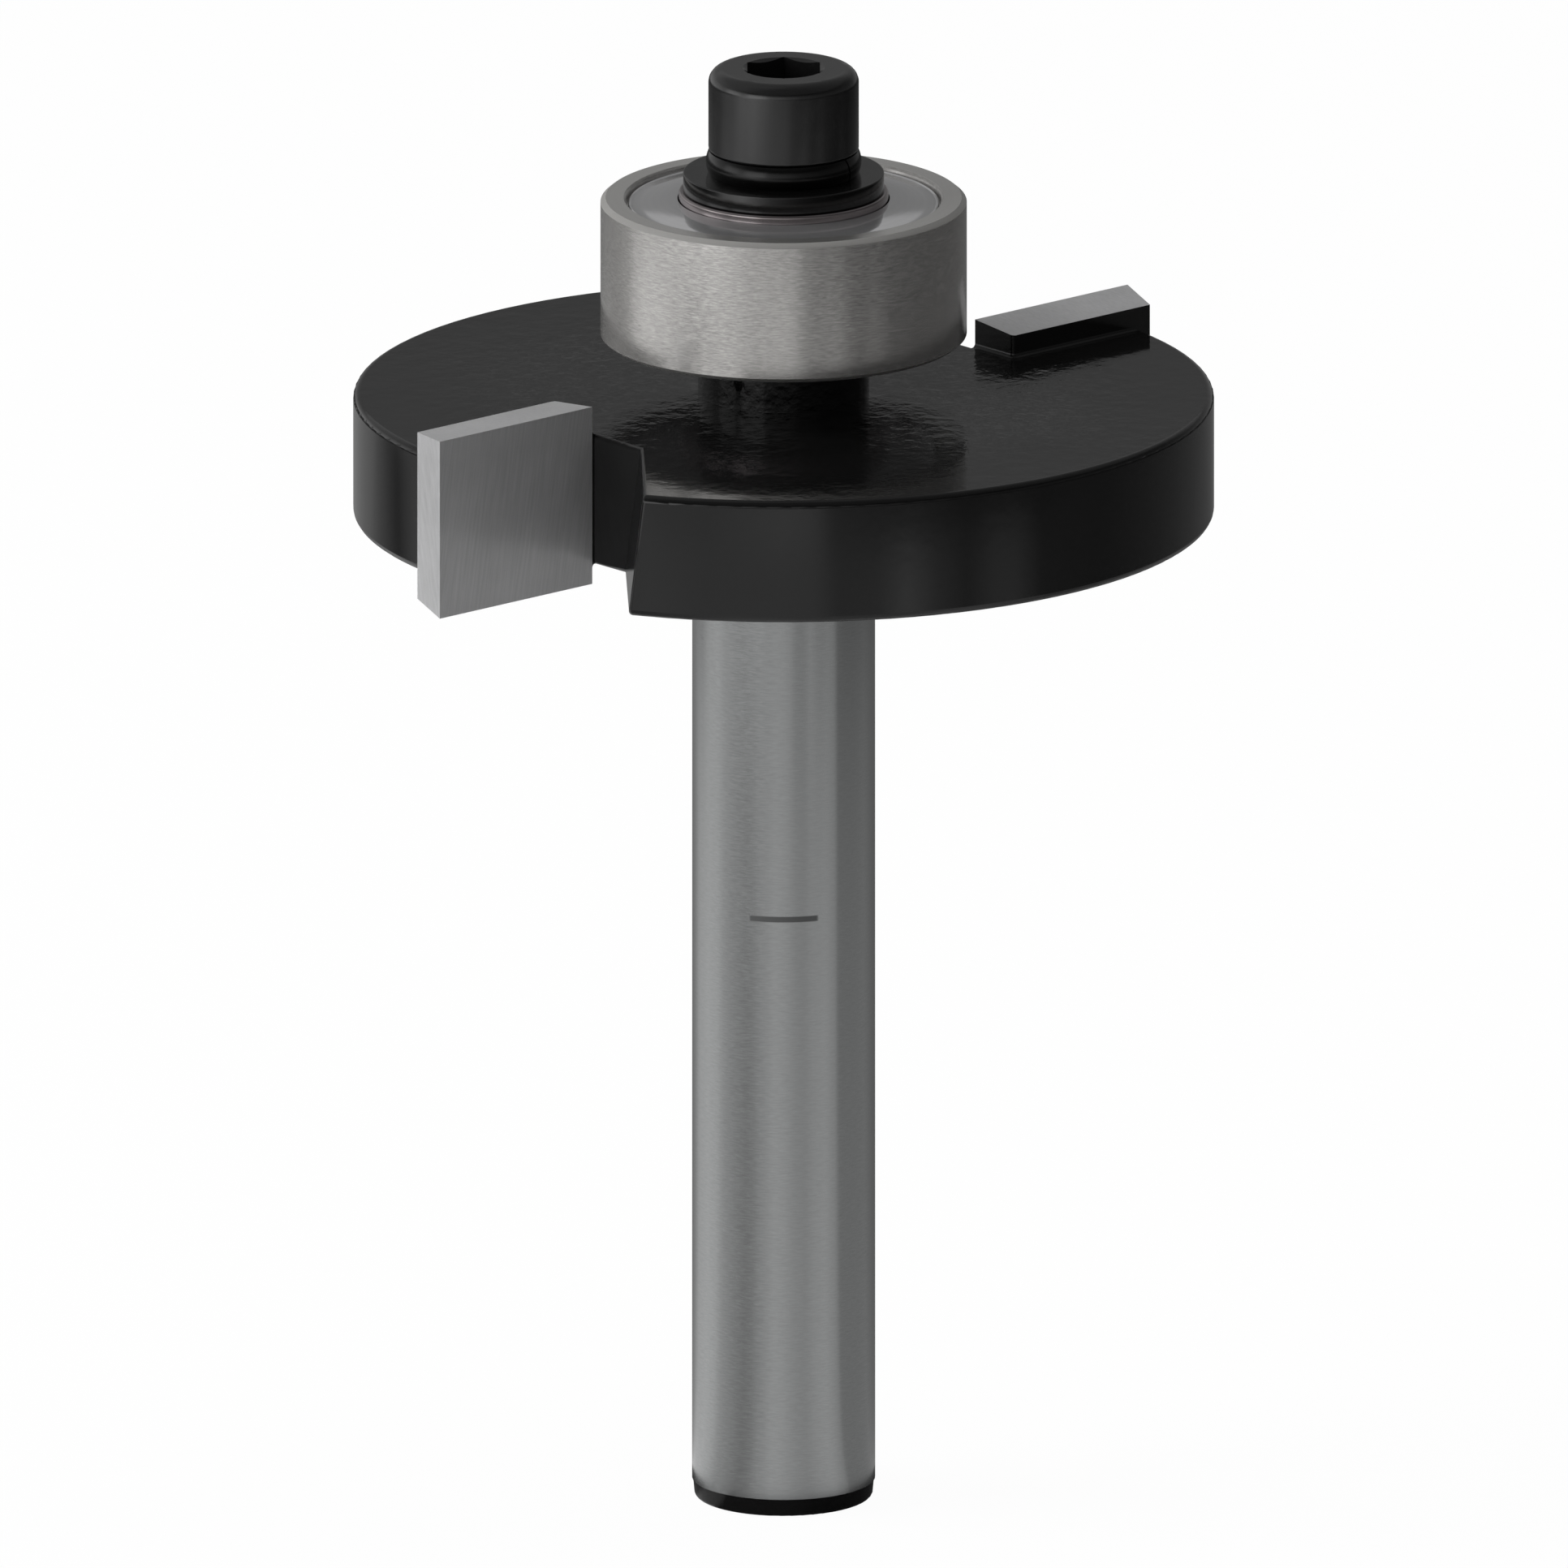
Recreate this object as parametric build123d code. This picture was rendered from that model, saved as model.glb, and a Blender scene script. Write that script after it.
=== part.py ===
from build123d import *
import math
import os

# Router bit with a guide bearing, in millimetres. The axis is Z and the shank's end face is at Z 0.
# Wing 1 points along +X with its rake face in the plane Y 0. The bit cuts anticlockwise seen from above.

# Shank
SHANK_D = 6.35
SHANK_TO_RIM = 35.23
END_BAND_L = 0.64
END_BAND_TOP_D = 6.27
END_BAND_D = 6.16
END_BAND_STEP_L = 0.04
END_ROUND_R = 0.18
SHANK_ROOT_R = 0.60

# Disc
DISC_D = 29.84
DISC_RIM_T = 4.35
DISC_EDGE_R = 0.25
UNDERSIDE_SLOPE_DEG = 2.75

# Gullets
WINGS = 2
FLOOR_X = 8.80
GULLET_FLOOR_W = 2.47
LEADING_WALL_DEG = 49.3
LEADING_WALL_LEAN_DEG = 6.6
GULLET_EDGE_R = 0.15

# Carbide tips
TIP_PROUD = 0.98
TIP_H = 6.35
TIP_T = 2.00
TIP_SIDE_RELIEF_DROP = 0.19
TIP_OUTER_RELIEF_DEG = 20.0
TIP_CORNER_R = 0.15
SEAM_T = 0.05
BEAD_R = 0.15

# Neck and bearing spigot
NECK_D = 5.94
NECK_L = 1.69
SPIGOT_FIT = 0.005
SPIGOT_SHORT = 0.25
SPIGOT_CHAMFER = 0.15

# Bearing rings, with their lands measured from the pitch circle of the balls
RING_OD = 12.70
RING_W = 5.00
BORE_D = 4.762
INNER_LAND_DROP = 0.7285
INNER_PROUD = 0.27
INNER_EDGE_R = 0.10
BORE_CHAMFER = 0.12
OUTER_LAND_RISE = 0.7345
RING_CHAMFER_RADIAL = 0.18
RING_CHAMFER_AXIAL = 0.15
SEAT_STEP = 0.34
MOUTH_FLARE = 0.03
MOUTH_CHAMFER = 0.08

# Shields
SHIELD_T = 0.15
SHIELD_RECESS = 0.19
SHIELD_RIM_GAP = 0.045
SHIELD_BEAD_W = 0.11
SHIELD_BEAD_H = 0.03
SHIELD_INNER_GAP = 0.08
SHIELD_DISH_H = 0.17
SHIELD_FLAT_W = 0.20

# Balls and cage
BALL_D = 2.381
BALL_COUNT = 7
PITCH_D = 8.731
BALL_CLEAR = 0.012
GROOVE_R = 1.238
CAGE_W = 0.95
CAGE_T = 0.20
POCKET_CLEAR = 0.06
RIVET_D = 0.36
RIVET_HEAD_D = 0.56
RIVET_HEAD_H = 0.09
RIVET_FIT = 0.004

# Washers
WASHER_OD = 6.97
WASHER_HOLE_D = 3.20
WASHER_T = 0.64
WASHER_EDGE_R = 0.04
SPRING_FACE_OD = 5.18
SPRING_BULGE = 0.11
SPRING_HOLE_D = 3.10
SPRING_T = 0.81
SPLIT_W = 0.07
SPLIT_AT_DEG = 106.7
SPLIT_SLANT_DEG = 15.0

# Cap screw
HEAD_D = 5.22
HEAD_H = 2.92
HEAD_TOP_R = 0.50
HEAD_FOOT_R = 0.12
THREAD_D = 3.00
SCREW_L = 10.00
SCREW_END_CHAMFER = 0.35
SOCKET_AF = 2.52
SOCKET_DEPTH = 1.35
SOCKET_MOUTH_D = 2.84
SOCKET_MOUTH_DEG = 120.0
SOCKET_CORNER_DEG = 48.54
DRILL_POINT_DEG = 118.0
THREAD_FIT = 0.01
HOLE_SPARE = 0.90

# Heights along the axis, worked out from the values above
RIM_LOW = SHANK_TO_RIM
DISC_TOP = RIM_LOW + DISC_RIM_T
DISC_MID = (RIM_LOW + DISC_TOP) / 2
SHOULDER = DISC_TOP + NECK_L
INNER_RING_W = RING_W + 2 * INNER_PROUD
INNER_TOP = SHOULDER + INNER_RING_W
SPIGOT_TOP = INNER_TOP - SPIGOT_SHORT
RING_LOW = SHOULDER + INNER_PROUD
RING_MID = RING_LOW + RING_W / 2
WASHER_TOP = INNER_TOP + WASHER_T
HEAD_LOW = WASHER_TOP + SPRING_T
SCREW_END = HEAD_LOW - SCREW_L

# Radii and slopes used by more than one piece
DISC_R = DISC_D / 2
SHANK_R = SHANK_D / 2
BALL_R = BALL_D / 2
PITCH_R = PITCH_D / 2
INNER_RING_R = PITCH_R - INNER_LAND_DROP
OUTER_LAND_R = PITCH_R + OUTER_LAND_RISE
SEAT_R = OUTER_LAND_R + SEAT_STEP
SLOPE = math.radians(UNDERSIDE_SLOPE_DEG)
CUT_R = DISC_R + TIP_PROUD
TIP_INNER_X = FLOOR_X + SEAM_T
WING_STEP_DEG = 360 / WINGS
# A tool solid reaches this far past what it cuts.
REACH = 30.0
# Places closer than this are the same place.
SAME = 0.001


def underside_z(radius):
    """Height of the disc's coned underside at a radius, before its rim is rounded."""
    return RIM_LOW - (DISC_R - radius) * math.tan(SLOPE)


def turn(profile):
    """Turn a closed outline, drawn in the XZ plane, about the Z axis."""
    return revolve(make_face(profile), Axis.Z, 360)


def xz(radius, height):
    """A point of a turned outline."""
    return Vector(radius, 0, height)


def line_through(*points):
    """Straight runs through points of a turned outline."""
    return [Line(a, b) for a, b in zip(points, points[1:])]


def wing_copy(shape, index):
    """A wing 1 shape turned to the place of wing number index, counted from 0."""
    return Rot(0, 0, index * WING_STEP_DEG) * shape


def disc_outline():
    """Corner points of the disc's section and of the shank and spigot that run on from it."""
    band_r = END_BAND_D / 2
    band_top_r = END_BAND_TOP_D / 2
    spigot_r = BORE_D / 2 - SPIGOT_FIT
    return [
        xz(0, 0),
        xz(band_r, 0),
        xz(band_top_r, END_BAND_L - END_BAND_STEP_L),
        xz(SHANK_R, END_BAND_L),
        xz(SHANK_R, underside_z(SHANK_R)),
        xz(DISC_R, RIM_LOW),
        xz(DISC_R, DISC_TOP),
        xz(NECK_D / 2, DISC_TOP),
        xz(NECK_D / 2, SHOULDER),
        xz(spigot_r, SHOULDER),
        xz(spigot_r, SPIGOT_TOP),
        xz(0, SPIGOT_TOP),
        xz(0, 0),
    ]


def near(edge, radius, height):
    """Whether a circular edge about the axis has this radius and height."""
    if edge.geom_type != GeomType.CIRCLE:
        return False
    return abs(edge.radius - radius) < SAME and abs(edge.arc_center.Z - height) < SAME


def turned_blank():
    """Shank, disc, neck and spigot as they come off the lathe, with their edges rounded.

    The outline is turned from +Y, so that no seam of a turned surface lies in a rake plane.
    """
    body = Rot(0, 0, 90) * turn(line_through(*disc_outline()))
    rim = [e for e in body.edges() if near(e, DISC_R, RIM_LOW) or near(e, DISC_R, DISC_TOP)]
    body = fillet(rim, DISC_EDGE_R)
    root = [e for e in body.edges() if near(e, SHANK_R, underside_z(SHANK_R))]
    body = fillet(root, SHANK_ROOT_R)
    end = [e for e in body.edges() if near(e, END_BAND_D / 2, 0)]
    body = fillet(end, END_ROUND_R)
    top = [e for e in body.edges() if near(e, BORE_D / 2 - SPIGOT_FIT, SPIGOT_TOP)]
    return chamfer(top, SPIGOT_CHAMFER)


def screw_hole():
    """The tapped blind hole down the spigot, with its drill point, at the thread's outer size."""
    hole_r = THREAD_D / 2 + THREAD_FIT
    bottom = SCREW_END - HOLE_SPARE
    point = bottom - hole_r / math.tan(math.radians(DRILL_POINT_DEG / 2))
    flare = SPIGOT_CHAMFER
    outline = line_through(
        xz(0, point),
        xz(hole_r, bottom),
        xz(hole_r, SPIGOT_TOP - flare),
        xz(hole_r + 2 * flare, SPIGOT_TOP + flare),
        xz(0, SPIGOT_TOP + flare),
        xz(0, point),
    )
    return turn(outline)


def gullet():
    """The chip space ahead of wing 1: a straight floor and a leaning wall that opens outwards."""
    turn_rad = math.radians(LEADING_WALL_DEG)
    lean = math.radians(LEADING_WALL_LEAN_DEG)
    inward = Vector(
        math.sin(turn_rad) * math.cos(lean),
        -math.cos(turn_rad) * math.cos(lean),
        math.sin(lean),
    )
    along = Vector(math.cos(turn_rad), math.sin(turn_rad), 0)
    corner = Vector(FLOOR_X, GULLET_FLOOR_W, DISC_TOP)
    wall = Plane(origin=corner, x_dir=along, z_dir=inward)
    wall_side = wall * Box(2 * REACH, 2 * REACH, REACH, align=(Align.CENTER, Align.CENTER, Align.MIN))
    ahead = Pos(FLOOR_X, 0, RIM_LOW - REACH / 2) * Box(REACH, REACH, 2 * REACH, align=Align.MIN)
    return ahead & wall_side


def gullet_edges(body, index):
    """The sharp edges that a wing's gullet leaves where its floor and wall meet the disc."""
    back = Rot(0, 0, -index * WING_STEP_DEG)
    turn_rad = math.radians(LEADING_WALL_DEG)
    found = []
    for edge in body.edges():
        middle = back * Pos(edge.position_at(0.5))
        x, y, z = middle.position
        if z < RIM_LOW - DISC_RIM_T or x < FLOOR_X - SAME:
            continue
        at_floor = abs(x - FLOOR_X) < SAME
        on_floor = at_floor and 0 < y < GULLET_FLOOR_W
        across = (x - FLOOR_X) * math.sin(turn_rad) - (y - GULLET_FLOOR_W) * math.cos(turn_rad)
        drop = (DISC_TOP - z) * math.tan(math.radians(LEADING_WALL_LEAN_DEG))
        on_wall = abs(across - drop) < SAME and y > 0
        upright = abs(edge.tangent_at(0.5).Z) > 0.9
        at_corner = upright and at_floor
        if (on_floor or on_wall) and not at_corner:
            found.append(edge)
    return found


def tip_seat():
    """The slot that holds tip 1 and its solder, open at the rake face and at the rim."""
    depth = TIP_T + SEAM_T
    return Pos(FLOOR_X, -depth, RIM_LOW - REACH / 2) * Box(REACH, depth, 2 * REACH, align=Align.MIN)


def cutter_body():
    """The one-piece steel body of the bit."""
    body = turned_blank()
    for index in range(WINGS):
        body -= wing_copy(gullet(), index)
    for index in range(WINGS):
        body = fillet(gullet_edges(body, index), GULLET_EDGE_R)
    for index in range(WINGS):
        body -= wing_copy(tip_seat(), index)
    return body - screw_hole()


def tip_plan():
    """Plan outline of tip 1, with its outer end relieved and its hidden corner rounded."""
    outer_back = CUT_R - TIP_T * math.tan(math.radians(TIP_OUTER_RELIEF_DEG))
    corners = Polyline(
        (TIP_INNER_X, 0),
        (CUT_R, 0),
        (outer_back, -TIP_T),
        (TIP_INNER_X, -TIP_T),
        (TIP_INNER_X, 0),
    )
    plan = make_face(corners)
    hidden = plan.vertices().sort_by(Axis.X)[:2].sort_by(Axis.Y)[0]
    return fillet(hidden, TIP_CORNER_R)


def carbide_tip():
    """Tip 1: a carbide block whose two side faces and outer end fall away behind the rake face."""
    low = DISC_MID - TIP_H / 2
    high = DISC_MID + TIP_H / 2
    block = Pos(0, 0, low) * extrude(tip_plan(), TIP_H)
    section = Polyline(
        (0, 0, low),
        (0, 0, high),
        (0, -TIP_T, high - TIP_SIDE_RELIEF_DROP),
        (0, -TIP_T, low + TIP_SIDE_RELIEF_DROP),
        (0, 0, low),
    )
    return block & extrude(make_face(section), 2 * CUT_R, dir=(1, 0, 0))


def tip_space():
    """The space that the solder leaves for tip 1, open outwards, with its hidden corner rounded."""
    place = Pos(TIP_INNER_X, -TIP_T, RIM_LOW - REACH)
    space = place * Box(REACH, TIP_T, 2 * REACH, align=Align.MIN)
    hidden = space.edges().filter_by(Axis.Z).sort_by(Axis.X)[:2].sort_by(Axis.Y)[0]
    return fillet(hidden, TIP_CORNER_R)


def solder_layer():
    """The thin layer of solder that fills the seat behind tip 1 and at its inner end."""
    return (tip_seat() - tip_space()) & turned_blank()


def bead_section():
    """Section of the hollow-faced solder bead in the XZ plane, with a root below its foot at Z 0."""
    sag = BEAD_R * (1 - math.sqrt(0.5))
    toe = xz(-BEAD_R, 0)
    crest = xz(0, BEAD_R)
    hollow = ThreePointArc(toe, xz(-sag, sag), crest)
    root = line_through(crest, xz(0, -SEAM_T), xz(-BEAD_R, -SEAM_T), toe)
    return make_face([hollow, *root])


def bead(fall):
    """The solder bead round the foot of tip 1, its long run falling by this much per millimetre."""
    turn_x = TIP_INNER_X + TIP_CORNER_R
    turn_y = -TIP_T + TIP_CORNER_R
    end_run = extrude(Pos(TIP_INNER_X, 0, 0) * bead_section(), -turn_y, dir=(0, -1, 0))
    corner_axis = Axis((turn_x, turn_y, 0), (0, 0, 1))
    corner = revolve(Pos(TIP_INNER_X, turn_y, 0) * bead_section(), corner_axis, 90)
    back_face = Pos(turn_x, -TIP_T, 0) * Rot(0, 0, 90) * bead_section()
    back_run = extrude(back_face, REACH, dir=(1, 0, -fall))
    return end_run + corner + back_run


def braze_seam():
    """The solder of tip 1: the layer in the seat, with a bead above and below the disc."""
    within_rim = Cylinder(DISC_R - DISC_EDGE_R, 4 * REACH)
    above = Pos(0, 0, DISC_TOP) * bead(0)
    inner_r = math.hypot(TIP_INNER_X, TIP_T)
    below = Pos(0, 0, underside_z(inner_r)) * mirror(bead(math.tan(SLOPE)), about=Plane.XY)
    beads = (above + below) & within_rim
    return solder_layer() + (beads - turned_blank())


def inner_ring():
    """The extended inner ring, with its ball groove and rounded ends."""
    ring_r = INNER_RING_R
    bore_r = BORE_D / 2
    outline = line_through(
        xz(bore_r, SHOULDER),
        xz(ring_r, SHOULDER),
        xz(ring_r, INNER_TOP),
        xz(bore_r, INNER_TOP),
        xz(bore_r, SHOULDER),
    )
    ring = turn(outline)
    ends = [e for e in ring.edges() if near(e, ring_r, SHOULDER) or near(e, ring_r, INNER_TOP)]
    ring = fillet(ends, INNER_EDGE_R)
    mouths = [e for e in ring.edges() if near(e, bore_r, SHOULDER) or near(e, bore_r, INNER_TOP)]
    ring = chamfer(mouths, BORE_CHAMFER)
    groove_centre = PITCH_R - BALL_R - BALL_CLEAR + GROOVE_R
    return ring - Pos(0, 0, RING_MID) * Torus(groove_centre, GROOVE_R)


def outer_ring():
    """The outer ring, with its ball groove and a stepped seat for a shield at each side."""
    half = RING_W / 2
    seat = half - SHIELD_RECESS - SHIELD_T
    mouth_r = SEAT_R + MOUTH_FLARE
    ring_r = RING_OD / 2
    upper = [
        xz(OUTER_LAND_R, seat),
        xz(SEAT_R, seat),
        xz(mouth_r, half - MOUTH_CHAMFER),
        xz(mouth_r + MOUTH_CHAMFER, half),
        xz(ring_r - RING_CHAMFER_RADIAL, half),
        xz(ring_r, half - RING_CHAMFER_AXIAL),
    ]
    lower = [xz(p.X, -p.Z) for p in reversed(upper)]
    outline = line_through(*upper, *lower, upper[0])
    groove_centre = PITCH_R + BALL_R + BALL_CLEAR - GROOVE_R
    ring = turn(outline) - Torus(groove_centre, GROOVE_R)
    return Pos(0, 0, RING_MID) * ring


def shield():
    """A pressed shield with its rolled rim at Z 0, dished up towards its hole."""
    rim_r = SEAT_R - SHIELD_RIM_GAP
    inner_r = INNER_RING_R + SHIELD_INNER_GAP
    bead_r = rim_r - SHIELD_BEAD_W
    flat_r = bead_r - SHIELD_FLAT_W
    crest = ThreePointArc(
        xz(bead_r, 0), xz((bead_r + rim_r) / 2, SHIELD_BEAD_H), xz(rim_r, -SHIELD_BEAD_H)
    )
    below = line_through(
        xz(rim_r, -SHIELD_BEAD_H),
        xz(rim_r, -SHIELD_T),
        xz(flat_r, -SHIELD_T),
        xz(inner_r, SHIELD_DISH_H - SHIELD_T),
        xz(inner_r, SHIELD_DISH_H),
        xz(flat_r, 0),
        xz(bead_r, 0),
    )
    return turn([crest, *below])


def upper_shield():
    """The shield that faces the screw."""
    return Pos(0, 0, RING_LOW + RING_W - SHIELD_RECESS) * shield()


def lower_shield():
    """The shield that faces the disc."""
    return Pos(0, 0, RING_LOW + SHIELD_RECESS) * mirror(shield(), about=Plane.XY)


def ball_places():
    """Locations of the ball centres round the pitch circle."""
    return PolarLocations(PITCH_R, BALL_COUNT).locations


def ball(index):
    """Ball number index, counted from 0."""
    return Pos(0, 0, RING_MID) * ball_places()[index] * Sphere(BALL_R)


def rivet_places():
    """Locations of the cage rivets, halfway between the balls."""
    return PolarLocations(PITCH_R, BALL_COUNT, start_angle=180 / BALL_COUNT).locations


def cage_half():
    """The upper pressed half of the cage on the plane Z 0: flat webs and a pocket over each ball."""
    inner_r = PITCH_R - CAGE_W / 2
    outer_r = PITCH_R + CAGE_W / 2
    pocket_r = BALL_R + POCKET_CLEAR
    up = (Align.CENTER, Align.CENTER, Align.MIN)
    band = Cylinder(outer_r, BALL_D, align=up) - Cylinder(inner_r, BALL_D, align=up)
    web = Cylinder(outer_r, CAGE_T, align=up) - Cylinder(inner_r, CAGE_T, align=up)
    half = web
    for place in ball_places():
        half += place * Sphere(pocket_r + CAGE_T) & band
    for place in ball_places():
        half -= place * Sphere(pocket_r)
    for place in rivet_places():
        half -= place * Cylinder(RIVET_D / 2 + RIVET_FIT, 4 * CAGE_T)
    return half


def cage_upper():
    """The cage half nearer the screw."""
    return Pos(0, 0, RING_MID) * cage_half()


def cage_lower():
    """The cage half nearer the disc."""
    return Pos(0, 0, RING_MID) * mirror(cage_half(), about=Plane.XY)


def cage_rivets():
    """The rivets through the webs of both cage halves."""
    stem = Cylinder(RIVET_D / 2, 2 * CAGE_T)
    up = (Align.CENTER, Align.CENTER, Align.MIN)
    head = Pos(0, 0, CAGE_T) * Cylinder(RIVET_HEAD_D / 2, RIVET_HEAD_H, align=up)
    rivet = stem + head + mirror(head, about=Plane.XY)
    return Compound([Pos(0, 0, RING_MID) * place * rivet for place in rivet_places()])


def flat_washer():
    """The plain washer that clamps the inner ring."""
    outline = line_through(
        xz(WASHER_HOLE_D / 2, INNER_TOP),
        xz(WASHER_OD / 2, INNER_TOP),
        xz(WASHER_OD / 2, WASHER_TOP),
        xz(WASHER_HOLE_D / 2, WASHER_TOP),
        xz(WASHER_HOLE_D / 2, INNER_TOP),
    )
    ring = turn(outline)
    outer_r = WASHER_OD / 2
    rims = [e for e in ring.edges() if near(e, outer_r, INNER_TOP) or near(e, outer_r, WASHER_TOP)]
    return fillet(rims, WASHER_EDGE_R)


def spring_washer():
    """The split washer, pulled flat, with its barrel-shaped outside and slanted split."""
    face_r = SPRING_FACE_OD / 2
    middle = (WASHER_TOP + HEAD_LOW) / 2
    barrel = ThreePointArc(
        xz(face_r, WASHER_TOP), xz(face_r + SPRING_BULGE, middle), xz(face_r, HEAD_LOW)
    )
    rest = line_through(
        xz(face_r, HEAD_LOW),
        xz(SPRING_HOLE_D / 2, HEAD_LOW),
        xz(SPRING_HOLE_D / 2, WASHER_TOP),
        xz(face_r, WASHER_TOP),
    )
    ring = turn([barrel, *rest])
    saw = Box(WASHER_OD, SPLIT_W, 4 * SPRING_T, align=(Align.MIN, Align.CENTER, Align.CENTER))
    split = Pos(0, 0, middle) * Rot(0, 0, SPLIT_AT_DEG) * Rot(SPLIT_SLANT_DEG, 0, 0) * saw
    return ring - split


def hex_socket():
    """The key socket of the screw's head, with its drill point and coned mouth, top at Z 0."""
    mouth_r = SOCKET_MOUTH_D / 2
    mouth_h = mouth_r / math.tan(math.radians(SOCKET_MOUTH_DEG / 2))
    point_h = SOCKET_AF / 2 / math.tan(math.radians(DRILL_POINT_DEG / 2))
    plan = RegularPolygon(SOCKET_AF / 2, 6, major_radius=False, rotation=SOCKET_CORNER_DEG)
    prism = extrude(plan, -SOCKET_DEPTH)
    mouth = turn(line_through(xz(0, 0), xz(0, -mouth_h), xz(mouth_r, 0), xz(0, 0)))
    rim = xz(SOCKET_AF / 2, -SOCKET_DEPTH)
    floor = xz(0, -SOCKET_DEPTH)
    point = turn(line_through(floor, xz(0, -SOCKET_DEPTH - point_h), rim, floor))
    return prism + mouth + point


def cap_screw():
    """The socket cap screw, with its thread at full outer size."""
    top = HEAD_LOW + HEAD_H
    outline = line_through(
        xz(0, SCREW_END),
        xz(THREAD_D / 2 - SCREW_END_CHAMFER, SCREW_END),
        xz(THREAD_D / 2, SCREW_END + SCREW_END_CHAMFER),
        xz(THREAD_D / 2, HEAD_LOW),
        xz(HEAD_D / 2, HEAD_LOW),
        xz(HEAD_D / 2, top),
        xz(0, top),
        xz(0, SCREW_END),
    )
    screw = turn(outline)
    screw = fillet([e for e in screw.edges() if near(e, HEAD_D / 2, top)], HEAD_TOP_R)
    screw = fillet([e for e in screw.edges() if near(e, HEAD_D / 2, HEAD_LOW)], HEAD_FOOT_R)
    return screw - Pos(0, 0, top) * hex_socket()


def pieces():
    """Every piece of the bit, by node name."""
    parts = {
        "cutter_body": cutter_body(),
        "bearing_inner_ring": inner_ring(),
        "bearing_outer_ring": outer_ring(),
        "bearing_shield_upper": upper_shield(),
        "bearing_shield_lower": lower_shield(),
        "ball_cage_upper": cage_upper(),
        "ball_cage_lower": cage_lower(),
        "cage_rivets": cage_rivets(),
        "flat_washer": flat_washer(),
        "spring_washer": spring_washer(),
        "cap_screw": cap_screw(),
    }
    for index in range(WINGS):
        parts[f"carbide_tip_{index + 1}"] = wing_copy(carbide_tip(), index)
        parts[f"braze_seam_{index + 1}"] = wing_copy(braze_seam(), index)
    for index in range(BALL_COUNT):
        parts[f"bearing_ball_{index + 1}"] = ball(index)
    return parts


os.makedirs("parts", exist_ok=True)
for name, shape in pieces().items():
    export_step(shape, f"parts/{name}.step")
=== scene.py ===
import logging
import math
from dataclasses import dataclass, field
from enum import Enum

import bmesh
import bpy
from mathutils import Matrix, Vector


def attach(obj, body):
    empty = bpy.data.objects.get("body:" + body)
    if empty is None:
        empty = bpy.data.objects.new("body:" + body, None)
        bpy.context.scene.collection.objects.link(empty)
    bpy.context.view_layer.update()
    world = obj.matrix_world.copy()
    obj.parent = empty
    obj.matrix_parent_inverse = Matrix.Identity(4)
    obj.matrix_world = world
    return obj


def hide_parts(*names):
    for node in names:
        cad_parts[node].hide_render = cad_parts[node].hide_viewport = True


LOG = logging.getLogger("router_bit")
MM = 0.001
PHOTO_WIDTH = 1932
FRONT_DEG = 48.54
MERGE_MM = 0.0002
SLIVER_MM = 0.0001
AXIS_MM = 1e-6

Point = tuple[float, float]
Tones = tuple[float, float]
Colour = tuple[float, float, float]
Stops = tuple[tuple[float, float], ...]
Sockets = dict[int | str, object]


class Surface(Enum):
    """Where a finish sits on the one-piece cutter body, by its material slot."""

    COAT = 0
    GROUND = 1
    END = 2


class TipFace(Enum):
    """The two kinds of face on a carbide tip, by their material slot."""

    GROUND = 0
    COATED = 1


class RingFace(Enum):
    """The kinds of face on the bearing's outer ring, by their material slot."""

    ROUND = 0
    # Level faces carry painted light: a lighter copy of the ring's steel.
    LEVEL = 1
    CHAMFER = 2


class Wire:
    """A value in a shader, with the arithmetic that adds Math nodes."""

    def __init__(self, net: "Net", socket: bpy.types.NodeSocket) -> None:
        """Wrap one output socket of a net."""
        self.net = net
        self.socket = socket

    def _math(self, operation: str, *values: "Wire | float") -> "Wire":
        """The result of one Math node with these inputs in order."""
        inputs = dict(enumerate(values))
        return self.net.wire(self.net.node("ShaderNodeMath", {"operation": operation}, inputs))

    def __add__(self, other: "Wire | float") -> "Wire":
        """Sum."""
        return self._math("ADD", self, other)

    def __radd__(self, other: float) -> "Wire":
        """Sum with a number first."""
        return self._math("ADD", other, self)

    def __sub__(self, other: "Wire | float") -> "Wire":
        """Difference."""
        return self._math("SUBTRACT", self, other)

    def __rsub__(self, other: float) -> "Wire":
        """Difference from a number."""
        return self._math("SUBTRACT", other, self)

    def __mul__(self, other: "Wire | float") -> "Wire":
        """Product."""
        return self._math("MULTIPLY", self, other)

    def __rmul__(self, other: float) -> "Wire":
        """Product with a number first."""
        return self._math("MULTIPLY", other, self)

    def __truediv__(self, other: "Wire | float") -> "Wire":
        """Quotient."""
        return self._math("DIVIDE", self, other)

    def __abs__(self) -> "Wire":
        """Size without its sign."""
        return self._math("ABSOLUTE", self)

    def __gt__(self, other: "Wire | float") -> "Wire":
        """One where this is more than the other, and nought elsewhere."""
        return self._math("GREATER_THAN", self, other)

    def clamped(self, low: float = 0.0, high: float = 1.0) -> "Wire":
        """The value held between two limits."""
        return self._math("MINIMUM", self._math("MAXIMUM", self, low), high)

    def angle_from(self, x: "Wire") -> "Wire":
        """The angle of the point (x, self) about the axis, in radians."""
        return self._math("ARCTAN2", self, x)

    def root(self) -> "Wire":
        """Square root."""
        return self._math("SQRT", self)

    def sine(self) -> "Wire":
        """Sine of an angle in radians."""
        return self._math("SINE", self)


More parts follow.
